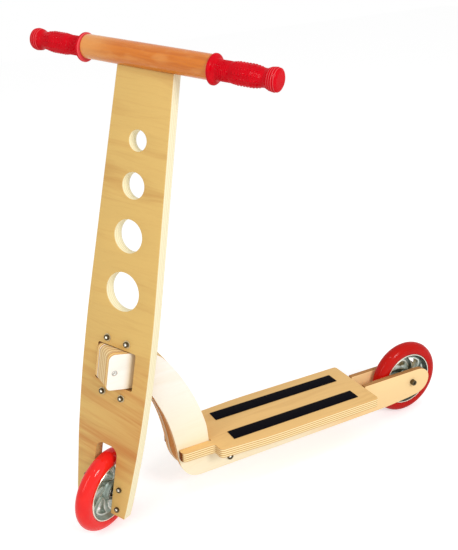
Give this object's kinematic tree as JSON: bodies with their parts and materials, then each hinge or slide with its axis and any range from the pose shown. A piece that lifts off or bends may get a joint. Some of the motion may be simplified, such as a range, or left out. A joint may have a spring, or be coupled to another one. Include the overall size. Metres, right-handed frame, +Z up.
{
  "type": "kick scooter",
  "caption": "Wooden kick scooter: tall tapered steering board with round holes, low plywood deck, round wooden bar with red grips and glossy red wheels.",
  "frame": {"origin": "on the ground, midway between the two wheels' centres as they are with the steering straight", "axes": "-Y is the way the scooter rides, +Z is up, +X is the rider's left side, which the picture shows; names with left are at -X and names with right at +X, as seen from the front. The steering board leans back 13 degrees and is stored turned 30 degrees towards +X about its axis, as pictured, so joint value 0 of steering is that pose and -30 degrees is straight ahead."},
  "size_m": [0.3721, 0.7577, 0.7831],
  "materials": {
    "board_plywood": "clear satin varnish over plywood",
    "frame_plywood": "clear satin varnish over pale plywood",
    "core_plywood": "clear satin varnish, plies on edge",
    "deck_plywood": "clear satin varnish over plywood",
    "block_beech": "clear satin varnish",
    "bar_beech": "clear satin varnish over turned beech",
    "grip_rubber": "soft satin rubber",
    "tyre_red": "glossy cast polyurethane",
    "cast_aluminium": "machined satin",
    "dark_steel": "oiled dark steel",
    "bright_steel": "bright steel",
    "grip_tape": "fine gritty anti-slip film"
  },
  "bodies": {
    "frame": {"side_plate_left": "frame_plywood", "side_plate_right": "frame_plywood", "frame_core": "core_plywood", "deck": "deck_plywood", "grip_strip_left": "grip_tape", "grip_strip_right": "grip_tape", "frame_bolt": "dark_steel", "frame_nut": "bright_steel", "nose_bolt": "bright_steel", "nose_bolt_cap": "bright_steel", "rear_axle": "dark_steel", "rear_axle_nut": "bright_steel", "rear_spacer_left": "bright_steel", "rear_spacer_right": "bright_steel"},
    "steering": {"steering_board": "board_plywood", "pivot_pin": "bright_steel", "thrust_washer_lower": "bright_steel", "thrust_washer_upper": "bright_steel", "pivot_block_upper": "block_beech", "pivot_block_lower": "block_beech", "axle_block_left": "block_beech", "axle_block_right": "block_beech", "window_bolt_1": "dark_steel", "window_bolt_2": "dark_steel", "window_bolt_3": "dark_steel", "window_bolt_4": "dark_steel", "window_washer_1": "bright_steel", "window_washer_2": "bright_steel", "window_washer_3": "bright_steel", "window_washer_4": "bright_steel", "leg_bolt_1": "dark_steel", "leg_bolt_2": "dark_steel", "leg_bolt_3": "dark_steel", "leg_bolt_4": "dark_steel", "front_axle": "bright_steel", "front_spacer_left": "bright_steel", "front_spacer_right": "bright_steel", "handlebar": "bar_beech", "bar_screw_left": "dark_steel", "bar_screw_right": "dark_steel", "grip_left": "grip_rubber", "grip_right": "grip_rubber"},
    "front_wheel": {"front_tyre": "tyre_red", "front_hub": "cast_aluminium", "front_bearing_left": "bright_steel", "front_bearing_right": "bright_steel", "front_bearing_spacer": "bright_steel"},
    "rear_wheel": {"rear_tyre": "tyre_red", "rear_hub": "cast_aluminium", "rear_bearing_left": "bright_steel", "rear_bearing_right": "bright_steel", "rear_bearing_spacer": "bright_steel"}
  },
  "joints": [
    {"name": "steering", "type": "hinge", "parent": "frame", "child": "steering", "pos_m": [0, -0.31487, 0.0731], "axis": [0, 0.225, 0.9744], "range_deg": [-60.5, 0.5]},
    {"name": "front_wheel_spin", "type": "hinge", "parent": "steering", "child": "front_wheel", "pos_m": [-0.0025, -0.31065, 0.07213], "axis": [0.866, 0.4872, -0.1125], "continuous": true},
    {"name": "rear_wheel_spin", "type": "hinge", "parent": "frame", "child": "rear_wheel", "pos_m": [0, 0.31, 0.0725], "axis": [1, 0, 0], "continuous": true}
  ]
}
